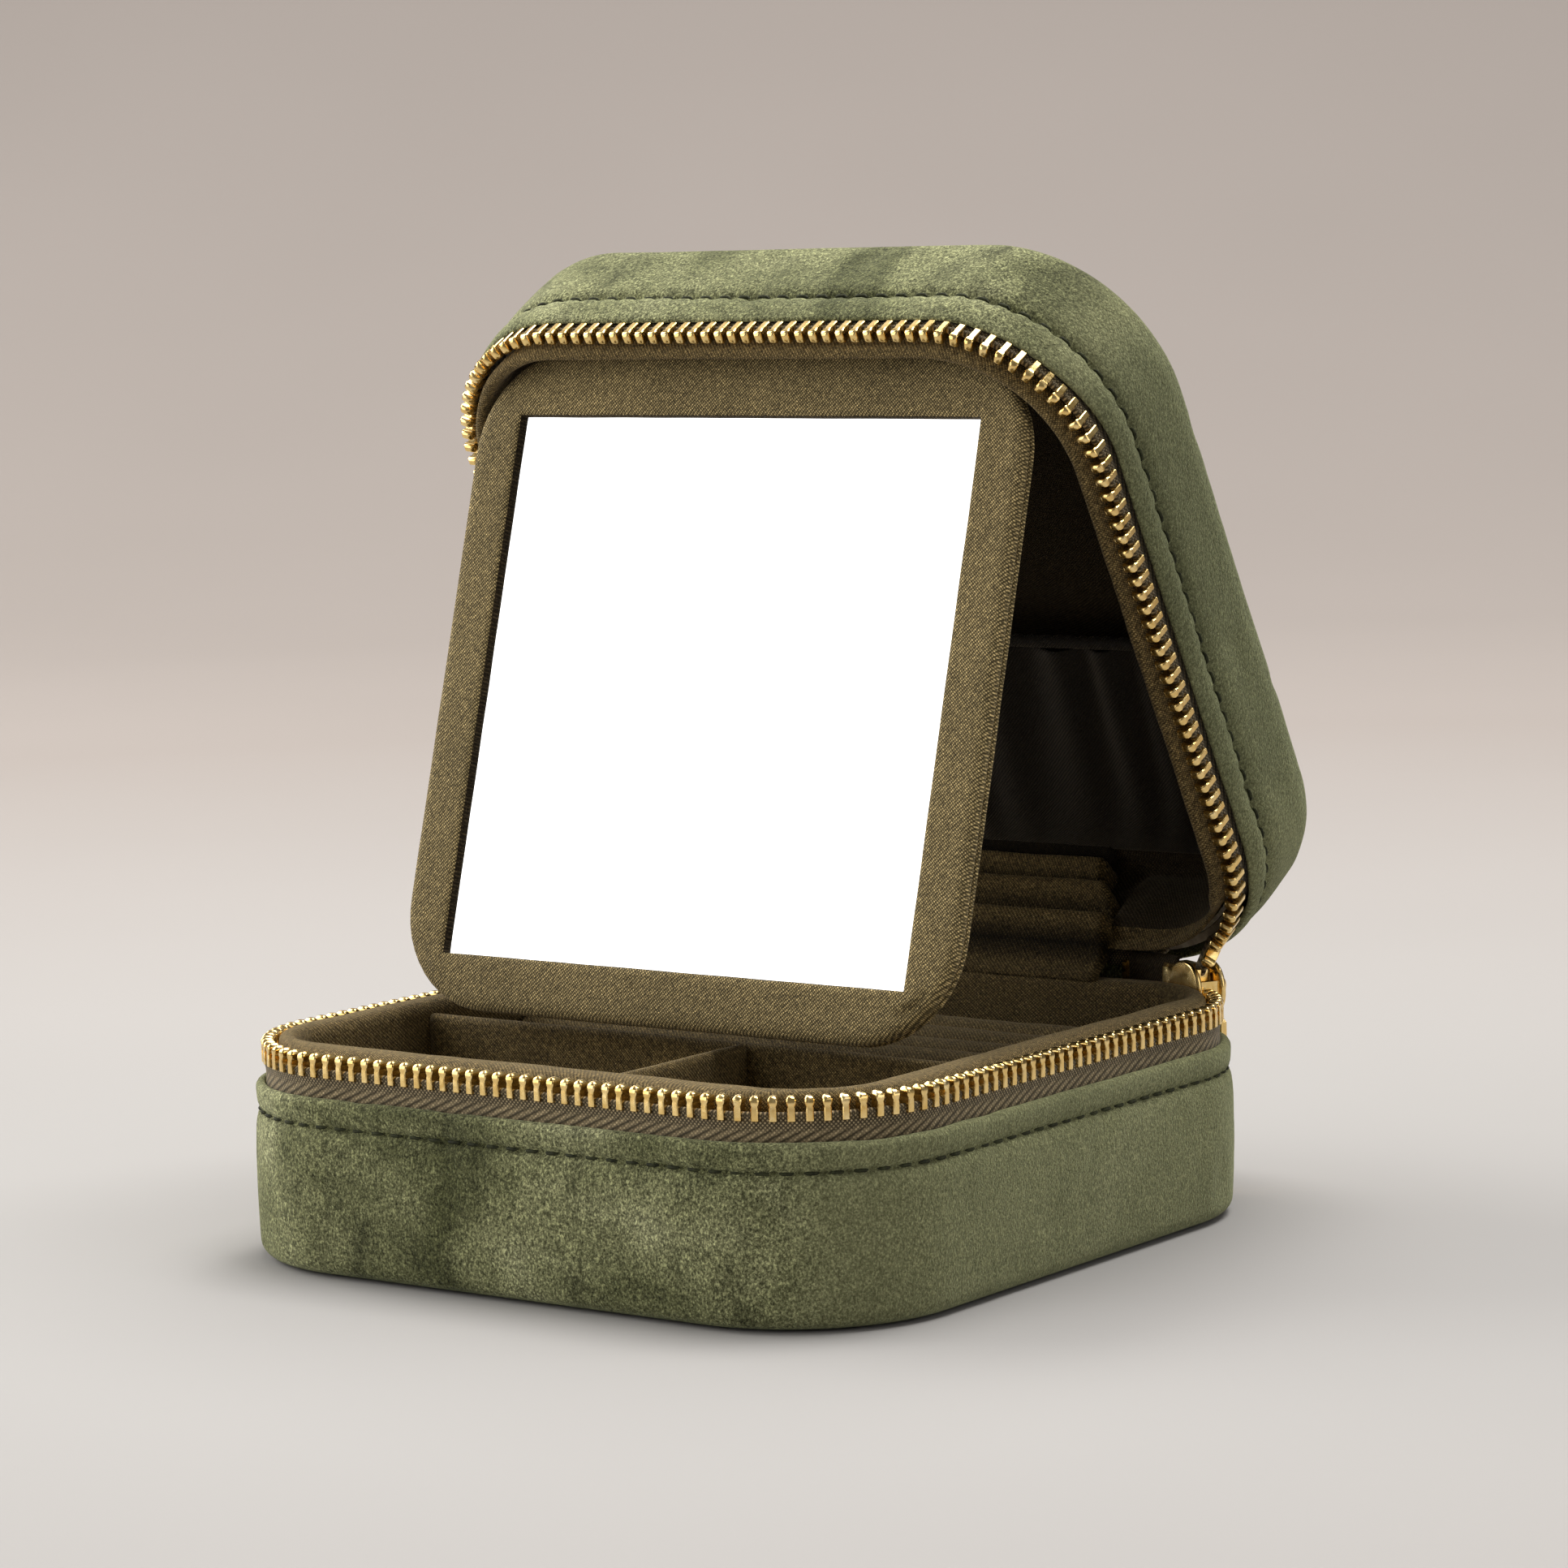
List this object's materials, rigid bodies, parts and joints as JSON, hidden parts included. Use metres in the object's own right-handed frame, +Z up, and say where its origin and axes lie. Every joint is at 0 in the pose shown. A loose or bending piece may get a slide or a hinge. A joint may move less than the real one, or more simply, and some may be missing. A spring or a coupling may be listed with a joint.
{
  "type": "travel jewelry case",
  "caption": "Square soft travel jewelry case with a zipped, spine-hinged lid, a folding mirror flap that props it open, divided tray and ring rolls.",
  "frame": {"origin": "centre of the flat bottom face of the base", "axes": "+Z up, +X to the right seen from the opening side, +Y towards the hinged spine"},
  "size_m": [0.1, 0.1144, 0.123],
  "materials": {
    "velvet": "crushed velvet, sage green",
    "lining": "fine twill, olive brown",
    "zip_tape": "herringbone woven tape",
    "brass_zip": "polished light gold plating",
    "board": "grey board",
    "foam": "polyurethane foam",
    "mirror": "silvered glass"
  },
  "bodies": {
    "base": {"base_velvet_shell": "velvet", "base_bottom_board": "board", "base_side_board": "board", "base_wall_foam": "foam", "base_lining_wall": "lining", "base_floor_pad": "lining", "long_divider": "lining", "short_divider": "lining", "ring_roll_1": "lining", "ring_roll_2": "lining", "ring_roll_3": "lining", "ring_roll_4": "lining", "ring_roll_5": "lining", "ring_roll_6": "lining", "base_zip_tape": "zip_tape", "base_zip_teeth": "brass_zip", "rear_upper_tape": "zip_tape", "rear_upper_teeth": "brass_zip", "zip_end_stops": "brass_zip", "spine_cover": "velvet", "spine_lining": "lining"},
    "lid": {"lid_velvet_shell": "velvet", "lid_board": "board", "lid_top_foam": "foam", "lid_wall_foam": "foam", "lid_lining_ring": "lining", "lid_ceiling_lining": "lining", "lid_pocket": "lining", "lid_pocket_elastic": "lining", "lid_zip_tape": "zip_tape", "lid_zip_teeth": "brass_zip", "mirror_hinge_strip": "lining"},
    "mirror_flap": {"mirror_front_cover": "lining", "mirror_core_board": "board", "mirror_glass": "mirror", "mirror_back_cover": "lining"},
    "zip_slider": {"zip_slider": "brass_zip"},
    "zip_pull": {"zip_pull": "brass_zip"}
  },
  "joints": [
    {"name": "lid_hinge", "type": "hinge", "parent": "base", "child": "lid", "pos_m": [0, 0.04735, 0.02976], "axis": [-1, 0, 0], "range_deg": [0, 24], "deforming": ["spine_cover", "spine_lining", "rear_upper_tape", "rear_upper_teeth"]},
    {"name": "mirror_hinge", "type": "hinge", "parent": "lid", "child": "mirror_flap", "pos_m": [0, 0.00579, 0.10912], "axis": [-1, 0, 0], "range_deg": [-45.1, 8]},
    {"name": "slider_travel", "type": "hinge", "parent": "base", "child": "zip_slider", "pos_m": [0.0287, 0.0287, 0.0274], "axis": [0, 0, 1], "range_deg": [-62, 0]},
    {"name": "pull_swing", "type": "hinge", "parent": "zip_slider", "child": "zip_pull", "pos_m": [0.03945, 0.04892, 0.0274], "axis": [0.8829, -0.4695, 0], "range_deg": [0, 75]}
  ]
}
